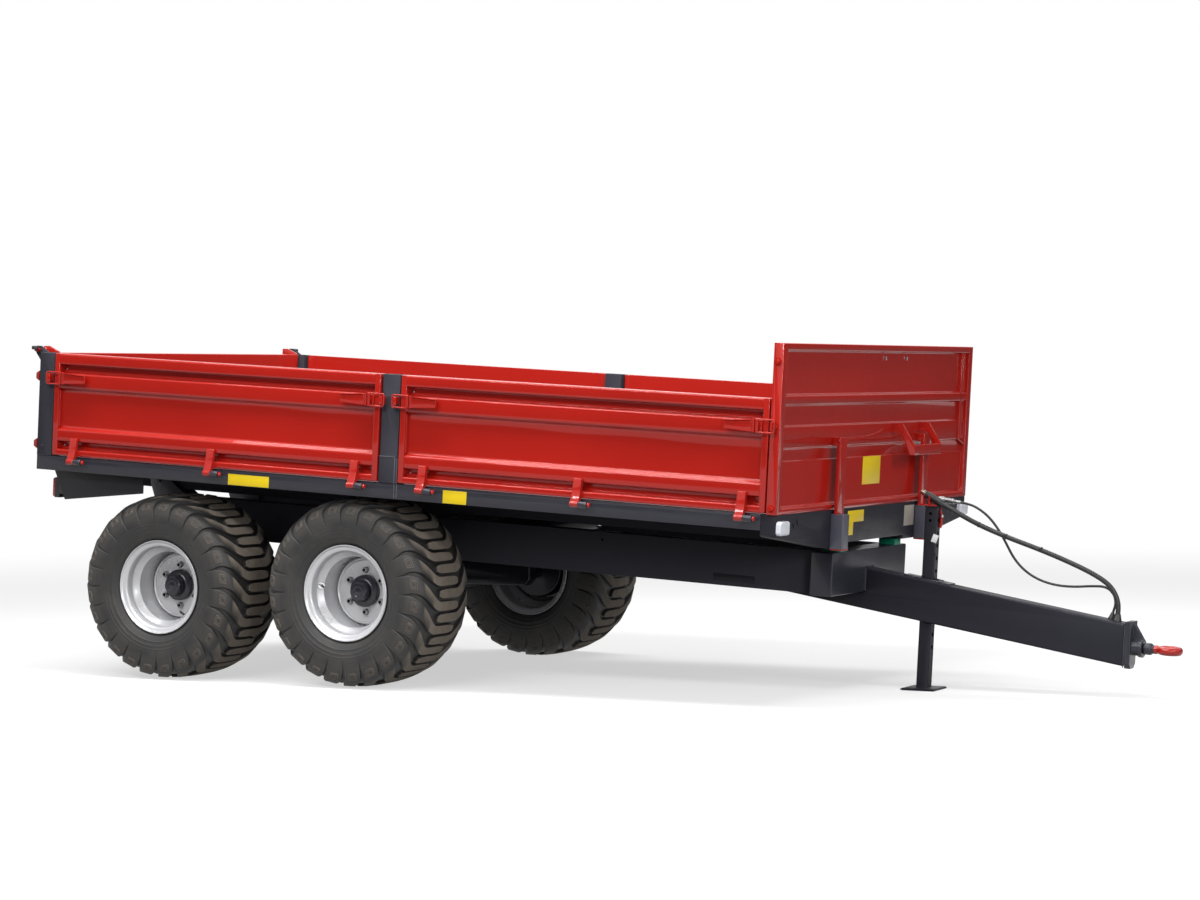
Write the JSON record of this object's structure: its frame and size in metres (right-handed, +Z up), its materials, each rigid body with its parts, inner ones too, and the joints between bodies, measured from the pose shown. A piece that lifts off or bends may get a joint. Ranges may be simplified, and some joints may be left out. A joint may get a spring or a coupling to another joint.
{
  "type": "tipping farm trailer",
  "caption": "Tandem-axle tipping trailer with flat bed, folding side panels, top-hung tailgate, drawbar with towing eye and jack leg.",
  "frame": {"origin": "on the ground in the middle of the whole trailer's plan, 1.58 m ahead of the bogie's centre", "axes": "+X forwards to the towing eye, +Y to the trailer's left, +Z up; the wheels stand level and the chassis and bed lean 3.41 degrees nose-down about the bogie"},
  "size_m": [5.7583, 2.532, 1.7132],
  "materials": {
    "red_paint": "gloss",
    "dark_paint": "satin",
    "rim_paint": "satin",
    "hub_paint": "satin",
    "tyre_rubber": "matt",
    "black_rubber": "matt",
    "green_pad": "matt",
    "bright_steel": "polished",
    "white_lens": "gloss",
    "red_lens": "gloss"
  },
  "bodies": {
    "chassis": {"stub_axles": "dark_paint", "bogie_beams": "dark_paint", "bogie_pivot": "dark_paint", "chassis_beams": "dark_paint", "chassis_front_box": "dark_paint", "chassis_cross_tubes": "dark_paint", "tip_hinge_plates": "dark_paint", "rest_pads": "green_pad", "drawbar": "dark_paint", "drawbar_head": "dark_paint"},
    "bed": {"bed_floor": "dark_paint", "bed_cross_members": "dark_paint", "bed_runners": "dark_paint", "side_rails": "dark_paint", "rear_posts": "dark_paint", "middle_posts": "dark_paint", "front_wall": "red_paint", "front_member": "dark_paint", "wall_stays": "red_paint", "stay_feet": "dark_paint", "front_step": "red_paint", "front_lamps": "white_lens", "rear_lamp_plates": "dark_paint", "rear_lamps": "red_lens", "cylinder_bracket": "dark_paint"},
    "tailgate": {"tailgate": "red_paint"},
    "leg": {"jack_leg": "dark_paint", "hose_cradle": "red_paint", "hose_coupling": "bright_steel", "cable_plug": "bright_steel", "hydraulic_hose": "black_rubber", "light_cable": "black_rubber"},
    "eye": {"towing_eye": "red_paint"},
    "barrel": {"cylinder_barrel": "dark_paint"},
    "stage_outer": {"cylinder_stage_outer": "bright_steel"},
    "stage_middle": {"cylinder_stage_middle": "bright_steel"},
    "rod": {"cylinder_rod": "bright_steel"},
    "wheel_front_right": {"tyre_front_right": "tyre_rubber", "rim_front_right": "rim_paint", "hub_front_right": "hub_paint"},
    "panel_front_right": {"side_panel_front_right": "red_paint"},
    "wheel_front_left": {"tyre_front_left": "tyre_rubber", "rim_front_left": "rim_paint", "hub_front_left": "hub_paint"},
    "panel_front_left": {"side_panel_front_left": "red_paint"},
    "wheel_rear_right": {"tyre_rear_right": "tyre_rubber", "rim_rear_right": "rim_paint", "hub_rear_right": "hub_paint"},
    "panel_rear_right": {"side_panel_rear_right": "red_paint"},
    "wheel_rear_left": {"tyre_rear_left": "tyre_rubber", "rim_rear_left": "rim_paint", "hub_rear_left": "hub_paint"},
    "panel_rear_left": {"side_panel_rear_left": "red_paint"}
  },
  "joints": [
    {"name": "bed_tip", "type": "hinge", "parent": "chassis", "child": "bed", "pos_m": [-2.67081, 0, 0.99581], "axis": [0, -1, 0], "range_deg": [0, 50]},
    {"name": "wheel_front_right_spin", "type": "hinge", "parent": "chassis", "child": "wheel_front_right", "pos_m": [-1.0185, -0.938, 0.4725], "axis": [0, 1, 0], "continuous": true},
    {"name": "wheel_front_left_spin", "type": "hinge", "parent": "chassis", "child": "wheel_front_left", "pos_m": [-1.0185, 0.938, 0.4725], "axis": [0, 1, 0], "continuous": true},
    {"name": "wheel_rear_right_spin", "type": "hinge", "parent": "chassis", "child": "wheel_rear_right", "pos_m": [-2.1415, -0.938, 0.4725], "axis": [0, 1, 0], "continuous": true},
    {"name": "wheel_rear_left_spin", "type": "hinge", "parent": "chassis", "child": "wheel_rear_left", "pos_m": [-2.1415, 0.938, 0.4725], "axis": [0, 1, 0], "continuous": true},
    {"name": "panel_front_right_drop", "type": "hinge", "parent": "bed", "child": "panel_front_right", "pos_m": [0.30197, -1.25, 0.93718], "axis": [0.9982, 0, -0.0595], "range_deg": [0, 180]},
    {"name": "panel_front_left_drop", "type": "hinge", "parent": "bed", "child": "panel_front_left", "pos_m": [0.30197, 1.25, 0.93718], "axis": [-0.9982, 0, 0.0595], "range_deg": [0, 180]},
    {"name": "panel_rear_right_drop", "type": "hinge", "parent": "bed", "child": "panel_rear_right", "pos_m": [-1.77734, -1.25, 1.06108], "axis": [0.9982, 0, -0.0595], "range_deg": [0, 180]},
    {"name": "panel_rear_left_drop", "type": "hinge", "parent": "bed", "child": "panel_rear_left", "pos_m": [-1.77734, 1.25, 1.06108], "axis": [-0.9982, 0, 0.0595], "range_deg": [0, 180]},
    {"name": "tailgate_swing", "type": "hinge", "parent": "bed", "child": "tailgate", "pos_m": [-2.8567, 0, 1.6924], "axis": [0, 1, 0], "range_deg": [0, 90]},
    {"name": "leg_slide", "type": "slide", "parent": "chassis", "child": "leg", "axis": [0.0595, 0, 0.9982], "range_m": [0, 0.295]},
    {"name": "eye_swivel", "type": "hinge", "parent": "chassis", "child": "eye", "pos_m": [2.65383, 0, 0.24276], "axis": [0.9982, 0, -0.0595], "continuous": true},
    {"name": "cylinder_swing", "type": "hinge", "parent": "chassis", "child": "barrel", "pos_m": [-0.96575, 0, 0.69386], "axis": [0, -1, 0], "range_deg": [0, 78.29]},
    {"name": "stage_outer_slide", "type": "slide", "parent": "barrel", "child": "stage_outer", "axis": [0.9847, 0, 0.1741], "range_m": [0, 0.4326]},
    {"name": "stage_middle_slide", "type": "slide", "parent": "stage_outer", "child": "stage_middle", "axis": [0.9847, 0, 0.1741], "range_m": [0, 0.4326]},
    {"name": "rod_slide", "type": "slide", "parent": "stage_middle", "child": "rod", "axis": [0.9847, 0, 0.1741], "range_m": [0, 0.4326]}
  ],
  "couplings": [
    {"joint": "cylinder_swing", "follows": "bed_tip", "ratio": 1.5558},
    {"joint": "stage_outer_slide", "follows": "bed_tip", "m_per_rad": 0.49345},
    {"joint": "stage_middle_slide", "follows": "bed_tip", "m_per_rad": 0.49345},
    {"joint": "rod_slide", "follows": "bed_tip", "m_per_rad": 0.49345}
  ]
}
